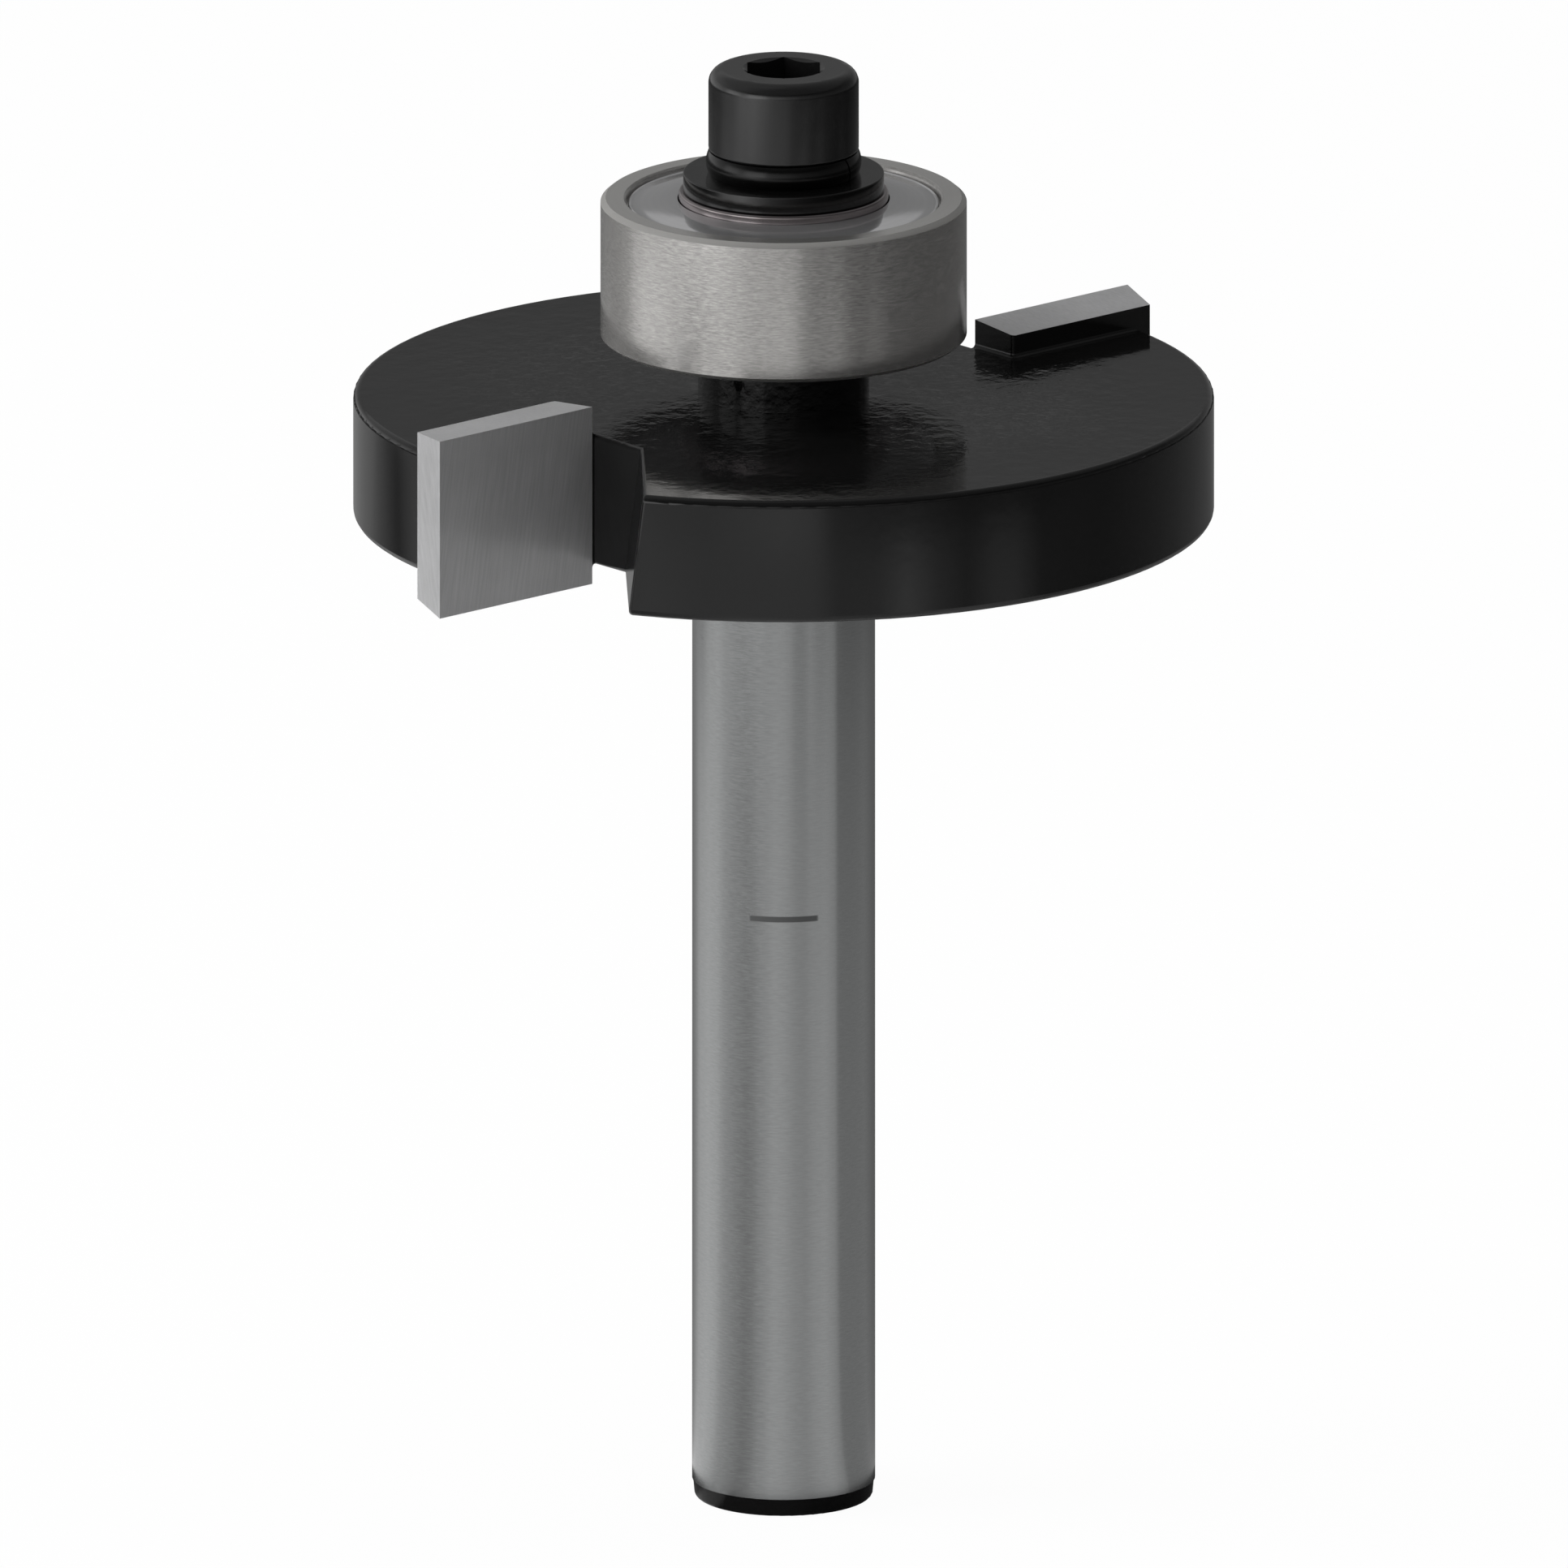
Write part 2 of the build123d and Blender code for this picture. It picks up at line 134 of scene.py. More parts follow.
class Net:
    """A node tree that is filled in from Python."""

    def __init__(self, tree: bpy.types.NodeTree) -> None:
        """Empty a tree and keep it."""
        self.tree = tree
        tree.nodes.clear()

    def node(
        self,
        kind: str,
        settings: dict[str, object] | None = None,
        inputs: Sockets | None = None,
    ) -> bpy.types.Node:
        """Add any node.

        Args:
            kind: The node's type name.
            settings: Its properties, set before its inputs.
            inputs: Values or wires for its input sockets, by name or number.

        Returns:
            The new node.
        """
        made = self.tree.nodes.new(kind)
        for key, value in (settings or {}).items():
            setattr(made, key, value)
        for key, value in (inputs or {}).items():
            if isinstance(value, Wire):
                self.tree.links.new(value.socket, made.inputs[key])
            else:
                made.inputs[key].default_value = value
        return made

    def wire(self, node: bpy.types.Node, output: int | str = 0) -> Wire:
        """Wrap one output of a node."""
        return Wire(self, node.outputs[output])

    def millimetres(self) -> Wire:
        """The place on the piece, in millimetres of the shared frame."""
        place = self.wire(self.node("ShaderNodeTexCoord"), "Object")
        return self.stretched(place, (1 / MM, 1 / MM, 1 / MM))

    def stretched(self, vector: Wire, factors: Colour) -> Wire:
        """A vector with each part multiplied by its own factor."""
        settings = {"operation": "MULTIPLY"}
        return self.wire(self.node("ShaderNodeVectorMath", settings, {0: vector, 1: factors}))

    def parts(self, vector: Wire) -> tuple[Wire, Wire, Wire]:
        """The three parts of a vector."""
        node = self.node("ShaderNodeSeparateXYZ", None, {0: vector})
        return self.wire(node, 0), self.wire(node, 1), self.wire(node, 2)

    def noise(self, vector: Wire, scale: float, detail: float = 2.0, rough: float = 0.5) -> Wire:
        """Smooth noise from 0 to 1, with this many bumps per unit of the vector."""
        inputs = {"Vector": vector, "Scale": scale, "Detail": detail, "Roughness": rough}
        return self.wire(self.node("ShaderNodeTexNoise", None, inputs), "Fac")

    def graded(self, value: Wire, stops: Stops) -> Wire:
        """A grey read off a curve of stops.

        Args:
            value: What is looked up, from 0 to 1.
            stops: Pairs of place and grey level.

        Returns:
            The grey as a number.
        """
        node = self.node("ShaderNodeValToRGB", None, {0: value})
        elements = node.color_ramp.elements
        while len(elements) < len(stops):
            elements.new(0.5)
        for element, (place, level) in zip(elements, stops):
            element.position = place
            element.color = (level, level, level, 1.0)
        return self.wire(node)

    def blended(self, amount: Wire | float, low: Wire | Colour, high: Wire | Colour) -> Wire:
        """A colour between two others.

        Args:
            amount: Nought for the first and one for the second.
            low: The first colour.
            high: The second colour.

        Returns:
            The mixed colour.
        """
        inputs: Sockets = {0: amount}
        for key, colour in ((6, low), (7, high)):
            inputs[key] = colour if isinstance(colour, Wire) else (*colour, 1.0)
        node = self.node("ShaderNodeMix", {"data_type": "RGBA"}, inputs)
        return self.wire(node, 2)

    def toned(self, amount: Wire, colour: Colour, tones: Tones) -> Wire:
        """A colour that runs from its darkest tone at nought to its lightest at one."""
        return self.blended(amount, scaled(colour, tones[0]), scaled(colour, tones[1]))

    def relief(self, height: Wire, rise_mm: float) -> Wire:
        """A normal bumped by a height map, whose one stands this far above its nought."""
        inputs = {"Strength": 1.0, "Distance": rise_mm * MM, "Height": height}
        return self.wire(self.node("ShaderNodeBump", None, inputs))

    def shade(self, inputs: Sockets) -> None:
        """Finish a surface with one Principled shader and its sockets."""
        shader = self.wire(self.node("ShaderNodeBsdfPrincipled", None, inputs))
        self.node("ShaderNodeOutputMaterial", None, {"Surface": shader})


def new_net(name: str) -> tuple[bpy.types.Material, Net]:
    """Make a fresh material.

    Args:
        name: Its name.

    Returns:
        The material and the net of its nodes.
    """
    material = bpy.data.materials.new(name)
    material.use_nodes = True
    return material, Net(material.node_tree)


def front_axes(x: Wire, y: Wire) -> tuple[Wire, Wire]:
    """Turn a level place to the front of the bit, the side that the photo shows.

    Args:
        x: Its part along X.
        y: Its part along Y.

    Returns:
        Its parts towards the front and across it.
    """
    front = math.radians(FRONT_DEG)
    ahead = x * math.cos(front) + y * math.sin(front)
    across = y * math.cos(front) - x * math.sin(front)
    return ahead, across


def scaled(colour: Colour, factor: float) -> Colour:
    """A colour made lighter or darker."""
    return colour[0] * factor, colour[1] * factor, colour[2] * factor


@dataclass(frozen=True)
class DepthLine:
    """A plain scribed line on the shank that shows how deep the collet must hold it."""

    height: float = 21.46
    width: float = 2.36
    thickness: float = 0.20
    cover: float = 0.80
    shade: float = 0.22
    roughness_rise: float = 0.18
    end_fade_per_mm: float = 12.0
    side_fade_per_mm: float = 30.0


@dataclass(frozen=True)
class GroundSteel:
    """Steel ground round the axis, with fine streaks that run round it."""

    name: str
    colour: Colour
    roughness: float
    streak_contrast: float = 0.09
    streaks_round: float = 3.2
    streaks_along: float = 22.0
    relief_mm: float = 0.00018
    anisotropy: float = 0.6
    spread_turn: float = 0.25
    metallic: float = 1.0
    line: DepthLine | None = None
    streak_gain: float = 2.2
    roughness_swing: float = 0.05

    def make(self) -> bpy.types.Material:
        """Build the material.

        Returns:
            The finished material.
        """
        material, net = new_net(self.name)
        place = net.millimetres()
        run = net.stretched(place, (self.streaks_round, self.streaks_round, self.streaks_along))
        grain = net.noise(run, 1.0, detail=3.0, rough=0.65)
        streak = (grain - 0.5) * self.streak_gain + 0.5
        tones = (1 - self.streak_contrast, 1 + self.streak_contrast)
        colour = net.toned(streak.clamped(), self.colour, tones)
        rough = self.roughness + (streak - 0.5) * self.roughness_swing
        if self.line:
            mark = self._line_mask(net, place)
            scribed = scaled(self.colour, self.line.shade)
            colour = net.blended(mark * self.line.cover, colour, scribed)
            rough = rough + mark * self.line.roughness_rise
        net.shade(
            {
                "Base Color": colour,
                "Metallic": self.metallic,
                "Roughness": rough.clamped(),
                "Normal": net.relief(streak, self.relief_mm),
                "Anisotropic": self.anisotropy,
                "Anisotropic Rotation": self.spread_turn,
            }
        )
        return material

    def _line_mask(self, net: Net, place: Wire) -> Wire:
        """One on the depth line and nought off it.

        Args:
            net: The net to add nodes to.
            place: The place on the piece, in millimetres.

        Returns:
            The mask.
        """
        x, y, z = net.parts(place)
        ahead, across = front_axes(x, y)
        front = ahead > 0.0
        past_end = abs(across) - self.line.width / 2
        past_side = abs(z - self.line.height) - self.line.thickness / 2
        off_end = past_end * self.line.end_fade_per_mm
        off_side = past_side * self.line.side_fade_per_mm
        return (0.5 - off_end).clamped() * (0.5 - off_side).clamped() * front


@dataclass(frozen=True)
class BlackCoat:
    """Glossy black lacquer that follows small waves in the steel under it.

    The waves are strongest near the axis, and weak near the lower edge where one is given.
    """

    name: str
    colour: Colour = (0.0042, 0.0042, 0.0042)
    roughness: float = 0.08
    wave_mm: float = 0.030
    waves_per_mm: float = 0.80
    ior: float = 1.45
    calm_below: float | None = None
    calm_rise_per_mm: float = 4.0
    calm_share: float = 0.10
    rim_share: float = 0.14
    wavy_radius: float = 13.0
    wavy_fade_per_mm: float = 0.25
    wavy_gain: float = 0.8
    patches_per_mm: float = 0.11
    patch_level: float = 0.42
    patch_gain: float = 1.2
    specks_per_mm: float = 9.0
    tones: Tones = (0.85, 1.15)
    speck_roughness: float = 0.03
    wave_roughness: float = 0.02

    def make(self) -> bpy.types.Material:
        """Build the material.

        Returns:
            The finished material.
        """
        material, net = new_net(self.name)
        place = net.millimetres()
        wave = net.noise(place, self.waves_per_mm, detail=3.0, rough=0.55)
        patch = net.noise(place, self.patches_per_mm, detail=1.0)
        x, y, z = net.parts(place)
        inside = self.wavy_radius - (x * x + y * y).root()
        middle = (inside * self.wavy_fade_per_mm).clamped()
        patches = (patch - self.patch_level) * self.patch_gain
        strength = (middle * self.wavy_gain + patches).clamped()
        height = wave * (self.rim_share + (1 - self.rim_share) * strength)
        if self.calm_below is not None:
            rise = ((z - self.calm_below) * self.calm_rise_per_mm).clamped()
            height = height * (self.calm_share + (1 - self.calm_share) * rise)
        speck = net.noise(place, self.specks_per_mm, rough=0.6)
        colour = net.toned(speck, self.colour, self.tones)
        rough = self.roughness + (speck - 0.5) * self.speck_roughness
        rough = rough + strength * self.wave_roughness
        net.shade(
            {
                "Base Color": colour,
                "Metallic": 0.0,
                "Roughness": rough,
                "IOR": self.ior,
                "Normal": net.relief(height, self.wave_mm),
            }
        )
        return material


@dataclass(frozen=True)
class BlackOxide:
    """The satin black oxide of hardened screws and washers."""

    name: str
    colour: Colour = (0.0060, 0.0060, 0.0061)
    roughness: float = 0.20
    grain_mm: float = 0.0010
    ior: float = 1.62
    grains_per_mm: float = 14.0
    clouds_per_mm: float = 1.3
    tones: Tones = (0.75, 1.25)
    cloud_roughness: float = 0.10
    grain_roughness: float = 0.05

    def make(self) -> bpy.types.Material:
        """Build the material.

        Returns:
            The finished material.
        """
        material, net = new_net(self.name)
        place = net.millimetres()
        grain = net.noise(place, self.grains_per_mm, detail=3.0, rough=0.6)
        cloud = net.noise(place, self.clouds_per_mm)
        colour = net.toned((0.5 * grain + 0.5 * cloud).clamped(), self.colour, self.tones)
        rough = self.roughness + (cloud - 0.5) * self.cloud_roughness
        rough = rough + (grain - 0.5) * self.grain_roughness
        net.shade(
            {
                "Base Color": colour,
                "Metallic": 0.0,
                "Roughness": rough,
                "IOR": self.ior,
                "Normal": net.relief(grain, self.grain_mm),
            }
        )
        return material


@dataclass(frozen=True)
class RolledSteel:
    """Bright smooth steel, as rolled, polished or pressed.

    Faint clouds, bands by height and turning marks run from its colour to its tint.
    """

    name: str
    colour: Colour
    roughness: float
    tint: Colour | None = None
    haze: float = 0.06
    metallic: float = 1.0
    darker: float = 0.88
    bands: Colour = (0.02, 0.02, 2.0)
    band_share: float = 0.3
    clouds_per_mm: float = 0.9
    cloud_share: float = 0.55
    mark_radians_per_mm: float = 24.0
    mark_share: float = 0.15
    mark_relief_mm: float = 0.00015

    def make(self) -> bpy.types.Material:
        """Build the material.

        Returns:
            The finished material.
        """
        material, net = new_net(self.name)
        place = net.millimetres()
        x, y, _ = net.parts(place)
        radius = (x * x + y * y).root()
        band = net.noise(net.stretched(place, self.bands), 1.0)
        cloud = net.noise(place, self.clouds_per_mm)
        mark = (radius * self.mark_radians_per_mm).sine() * 0.5 + 0.5
        amount = self.cloud_share * cloud + self.band_share * band + self.mark_share * mark
        second = self.tint or scaled(self.colour, self.darker)
        net.shade(
            {
                "Base Color": net.blended(amount.clamped(), self.colour, second),
                "Metallic": self.metallic,
                "Roughness": self.roughness + (cloud - 0.5) * self.haze,
                "Normal": net.relief(mark, self.mark_relief_mm),
            }
        )
        return material


@dataclass(frozen=True)
class GroundCarbide:
    """Cemented carbide, flat-ground with fine parallel lines that lean a little."""

    name: str
    colour: Colour = (0.43, 0.43, 0.435)
    roughness: float = 0.31
    metallic: float = 0.40
    lines_per_mm: float = 11.0
    lean_deg: float = 9.0
    through_per_mm: float = 3.0
    down_per_mm: float = 0.35
    clouds_per_mm: float = 0.45
    specks_per_mm: float = 22.0
    line_gain: float = 1.7
    cloud_gain: float = 0.9
    speck_gain: float = 0.4
    tones: Tones = (0.84, 1.14)
    roughness_swing: float = 0.12
    line_relief_mm: float = 0.0005

    def make(self) -> bpy.types.Material:
        """Build the material.

        Returns:
            The finished material.
        """
        material, net = new_net(self.name)
        place = net.millimetres()
        lean = math.tan(math.radians(self.lean_deg))
        x, y, z = net.parts(place)
        across = (x + z * lean) * self.lines_per_mm
        lines_at = self._joined(net, across, y * self.through_per_mm, z * self.down_per_mm)
        fine = net.noise(lines_at, 1.0, detail=3.0, rough=0.65)
        cloud = net.noise(place, self.clouds_per_mm)
        speck = net.noise(place, self.specks_per_mm, detail=1.0)
        amount = (fine - 0.5) * self.line_gain + (cloud - 0.5) * self.cloud_gain
        amount = amount + (speck - 0.5) * self.speck_gain + 0.5
        colour = net.toned(amount.clamped(), self.colour, self.tones)
        net.shade(
            {
                "Base Color": colour,
                "Metallic": self.metallic,
                "Roughness": (self.roughness + (fine - 0.5) * self.roughness_swing).clamped(),
                "Normal": net.relief(fine, self.line_relief_mm),
            }
        )
        return material

    @staticmethod
    def _joined(net: Net, x: Wire, y: Wire, z: Wire) -> Wire:
        """A vector made of three values."""
        return net.wire(net.node("ShaderNodeCombineXYZ", None, {0: x, 1: y, 2: z}))


def put_in_scene(name: str, data: bpy.types.ID) -> bpy.types.Object:
    """Make an object and link it to the scene.

    Args:
        name: Its name.
        data: Its mesh, lamp or camera.

    Returns:
        The new object.
    """
    made = bpy.data.objects.new(name, data)
    bpy.context.scene.collection.objects.link(made)
    return made


def mesh_from(shape: bmesh.types.BMesh, name: str) -> bpy.types.Mesh:
    """Turn an edited shape into a mesh and free it.

    Args:
        shape: The shape.
        name: The new mesh's name.

    Returns:
        The mesh.
    """
    mesh = bpy.data.meshes.new(name)
    shape.to_mesh(mesh)
    shape.free()
    return mesh


def round_of_points(
    shape: bmesh.types.BMesh, radius: float, height: float, count: int
) -> list[bmesh.types.BMVert]:
    """Add points in a circle about the axis.

    Args:
        shape: The shape that they are added to.
        radius: The circle's radius in metres.
        height: Its height in metres.
        count: How many points it has.

    Returns:
        The points in order.
    """
    points = []
    for step in range(count):
        turn = 2 * math.pi * step / count
        place = (radius * math.cos(turn), radius * math.sin(turn), height)
        points.append(shape.verts.new(place))
    return points


def arc(centre: Point, radius: float, start_deg: float, end_deg: float, steps: int) -> list[Point]:
    """Points along an arc in the plane of a turned outline.

    Args:
        centre: Radius and height of its centre.
        radius: Its radius.
        start_deg: Where it starts, measured from the outward direction.
        end_deg: Where it ends.
        steps: How many runs it has.

    Returns:
        Its points, ends included.
    """
    points = []
    for step in range(steps + 1):
        turn = math.radians(start_deg + (end_deg - start_deg) * step / steps)
        points.append((centre[0] + radius * math.cos(turn), centre[1] + radius * math.sin(turn)))
    return points


def mirrored(outline: list[Point]) -> list[Point]:
    """The lower half of an outline whose upper half this is, about height 0."""
    return [(radius, -height) for radius, height in reversed(outline)]


def eased(
    corners: list[Point],
    radius: float,
    steps: int = 3,
    above_deg: float = 20.0,
    run_share: float = 0.4,
) -> list[Point]:
    """Round the sharp corners of a closed outline.

    Args:
        corners: Its corners in order.
        radius: The rounding, which is less where a run is short.
        steps: How many runs each rounding has.
        above_deg: Corners that turn less than this are left alone.
        run_share: The most of a run that one rounding may take.

    Returns:
        The outline with its roundings.
    """
    rounded: list[Point] = []
    for index, corner in enumerate(corners):
        here = Vector(corner)
        back = Vector(corners[index - 1]) - here
        ahead = Vector(corners[(index + 1) % len(corners)]) - here
        turn = math.pi - back.angle(ahead)
        if math.degrees(turn) < above_deg:
            rounded.append(corner)
            continue
        shortest = min(back.length, ahead.length)
        reach = min(radius * math.tan(turn / 2), run_share * shortest)
        first = here + back.normalized() * reach
        last = here + ahead.normalized() * reach
        for step in range(steps + 1):
            share = step / steps
            low = first.lerp(here, share)
            high = here.lerp(last, share)
            rounded.append(tuple(low.lerp(high, share)))
    return rounded


def part_flat_faces(mesh: bpy.types.Mesh, level_above: float = 0.99995) -> None:
    """Mark the borders of level faces as sharp, so that roundings don't shade them.

    Args:
        mesh: The mesh to mark.
        level_above: The upright part of a level face's normal.
    """
    shape = bmesh.new()
    shape.from_mesh(mesh)
    for edge in shape.edges:
        level = [abs(face.normal.z) > level_above for face in edge.link_faces]
        if len(level) == 2 and level[0] != level[1]:
            edge.smooth = False
    shape.to_mesh(mesh)
    shape.free()


def finish_mesh(mesh: bpy.types.Mesh, name: str, sharp_deg: float = 32.0) -> bpy.types.Object:
    """Shade a mesh smoothly between its sharp edges and put it in the scene.

    Args:
        mesh: The mesh, with its place in its vertices.
        name: The new piece's name.
        sharp_deg: Edges that turn more than this stay sharp.

    Returns:
        The new piece.
    """
    mesh.shade_smooth()
    mesh.set_sharp_from_angle(angle=math.radians(sharp_deg))
    part_flat_faces(mesh)
    piece = put_in_scene(name, mesh)
    even = piece.modifiers.new("even_shading", "WEIGHTED_NORMAL")
    even.keep_sharp = True
    return piece


def turned(outline: list[Point], name: str, segments: int = 192) -> bpy.types.Object:
    """Turn a closed outline about the axis.

    Args:
        outline: Radius and height of its points in millimetres, in order.
        name: The new piece's name.
        segments: How many facets go round.

    Returns:
        The new piece.
    """
    shape = bmesh.new()
    columns = []
    for radius, height in outline:
        if radius < AXIS_MM:
            pole = shape.verts.new((0.0, 0.0, height * MM))
            columns.append([pole] * segments)
            continue
        columns.append(round_of_points(shape, radius * MM, height * MM, segments))
    for index, column in enumerate(columns):
        after = columns[(index + 1) % len(columns)]
        for step in range(segments):
            along = (step + 1) % segments
            corners = [column[step], column[along], after[along], after[step]]
            kept = list(dict.fromkeys(corners))
            if len(kept) > 2:
                shape.faces.new(kept)
    bmesh.ops.recalc_face_normals(shape, faces=shape.faces)
    return finish_mesh(mesh_from(shape, name), name)


def smooth_copy(node: str, name: str) -> bpy.types.Object:
    """A merged copy of a CAD node, shaded smoothly between its sharp edges.

    Args:
        node: The CAD node.
        name: The new piece's name.

    Returns:
        The new piece.
    """
    shape = bmesh.new()
    shape.from_mesh(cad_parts[node].data)
    bmesh.ops.remove_doubles(shape, verts=shape.verts, dist=MERGE_MM * MM)
    bmesh.ops.dissolve_degenerate(shape, edges=shape.edges, dist=SLIVER_MM * MM)
    mesh = mesh_from(shape, name)
    for layer in ("custom_normal", "sharp_edge", "sharp_face"):
        if layer in mesh.attributes:
            mesh.attributes.remove(mesh.attributes[layer])
    return finish_mesh(mesh, name)


def dress(piece: bpy.types.Object, *materials: bpy.types.Material) -> None:
    """Give a piece its material slots.

    Args:
        piece: The piece.
        materials: Its materials in order.
    """
    piece.data.materials.clear()
    for material in materials:
        piece.data.materials.append(material)


def stand_for(
    piece: bpy.types.Object, node: str, body: str, slot: str, *materials: bpy.types.Material
) -> None:
    """Dress a piece and let it take the place of a CAD node.

    Args:
        piece: The finished piece.
        node: The CAD node that it hides.
        body: The body that carries it.
        slot: The record's material slot, which is not used.
        materials: Its materials, or none where it already has them.
    """
    if materials:
        dress(piece, *materials)
    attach(piece, body)
    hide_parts(node)
    LOG.info("%s stands for %s on %s, %d faces", piece.name, node, body, len(piece.data.polygons))


@dataclass
class CutterBody:
    """The one-piece steel body: ground shank, black end, coated disc, neck and spigot."""

    band_top: float = 0.64
    shank_radius: float = 3.175
    shank_spare: float = 0.05
    ground_to: float = 34.3
    coat: BlackCoat = BlackCoat("black_coat", wave_mm=0.036, waves_per_mm=1.6, calm_below=39.33)
    ground: GroundSteel = GroundSteel(
        "ground_shank", (0.325, 0.332, 0.332), 0.20, line=DepthLine()
    )
    end: BlackCoat = BlackCoat("black_shank_end", roughness=0.14, wave_mm=0.03, waves_per_mm=1.6)

    def build(self) -> None:
        """Build the body's mesh, sort its faces by finish and put it in place."""
        piece = smooth_copy("cutter_body", "bit_body")
        materials = (self.coat.make(), self.ground.make(), self.end.make())
        stand_for(piece, "cutter_body", "cutter", "cutter_body", *materials)
        for face in piece.data.polygons:
            face.material_index = self._surface(face.center / MM).value

    def _surface(self, centre: Vector) -> Surface:
        """Choose the finish of a face.

        Args:
            centre: The face's middle, in millimetres.

        Returns:
            The finish.
        """
        if centre.z < self.band_top:
            return Surface.END
        on_shank = centre.xy.length < self.shank_radius + self.shank_spare
        if centre.z < self.ground_to and on_shank:
            return Surface.GROUND
        return Surface.COAT


@dataclass
class CarbideWings:
    """The two brazed tips and their solder."""

    count: int = 2
    carbide: GroundCarbide = GroundCarbide("ground_carbide")
    coat: BlackCoat = BlackCoat("coat_on_carbide", roughness=0.18, wave_mm=0.01)
    solder: BlackCoat = BlackCoat(
        "coated_solder", (0.006, 0.006, 0.006), 0.20, wave_mm=0.015, waves_per_mm=2.5
    )

    def build(self) -> None:
        """Build both tips and both seams."""
        carbide = self.carbide.make()
        coat = self.coat.make()
        solder = self.solder.make()
        for index in range(self.count):
            node = f"carbide_tip_{index + 1}"
            tip = smooth_copy(node, f"cutting_tip_{index + 1}")
            stand_for(tip, node, "cutter", "carbide", carbide, coat)
            turn = 2 * math.pi * index / self.count
            for face in tip.data.polygons:
                face.material_index = self._side(face.normal, turn).value
            node = f"braze_seam_{index + 1}"
            seam = smooth_copy(node, f"solder_{index + 1}")
            stand_for(seam, node, "cutter", "solder", solder)

    @staticmethod
    def _side(normal: Vector, turn: float, away: float = -0.5) -> TipFace:
        """Tell the tip's ground faces from those against the body.

        Args:
            normal: The way that the face looks.
            turn: The angle that its tip is turned by.
            away: How far a coated face looks back or inwards at least.

        Returns:
            The kind of face.
        """
        out = Vector((math.cos(turn), math.sin(turn), 0))
        ahead = Vector((-math.sin(turn), math.cos(turn), 0))
        hidden = normal.dot(ahead) < away or normal.dot(out) < away
        return TipFace.COATED if hidden else TipFace.GROUND


